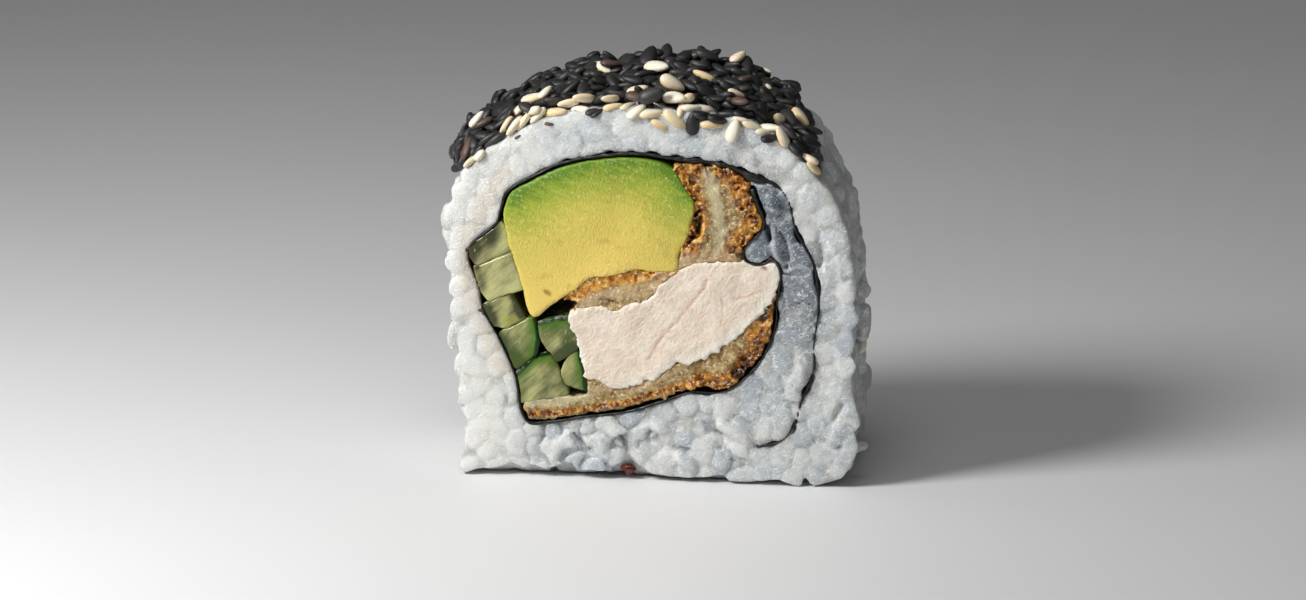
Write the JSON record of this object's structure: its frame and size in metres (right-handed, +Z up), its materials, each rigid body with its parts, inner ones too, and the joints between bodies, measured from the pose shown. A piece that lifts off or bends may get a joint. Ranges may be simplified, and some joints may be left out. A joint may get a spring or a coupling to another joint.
{
  "type": "inside-out sushi roll slice",
  "caption": "Thick slice of an inside-out sushi roll: rice round a nori spiral with avocado, breaded chicken and cucumber sticks, and sesame seeds over the rounded top, resting on its flat side.",
  "frame": {"origin": "centre of the footprint on the surface that the slice rests on", "axes": "+X to the right along the width, -Y out of the cut face that shows in the picture, +Z up to the seeded top"},
  "size_m": [0.06, 0.0255, 0.0553],
  "materials": {
    "rice": null,
    "nori": "damp seaweed sheet, nearly black",
    "avocado": "soft fruit flesh, green under the skin side and yellow at the stone side",
    "chicken": "cooked white meat, moist",
    "crust": "fried batter, grey and translucent inside, browned and crumbly outside",
    "cucumber": "wet cucumber flesh with dark green skin"
  },
  "bodies": {
    "root": {"rice": "rice", "nori": "nori", "avocado": "avocado", "chicken": "chicken", "crust_upper": "crust", "crust_middle": "crust", "crust_lower": "crust", "cucumber_upper": "cucumber", "cucumber_tall": "cucumber", "cucumber_middle": "cucumber", "cucumber_left": "cucumber", "cucumber_right": "cucumber", "cucumber_lower": "cucumber", "cucumber_corner": "cucumber"}
  },
  "joints": []
}
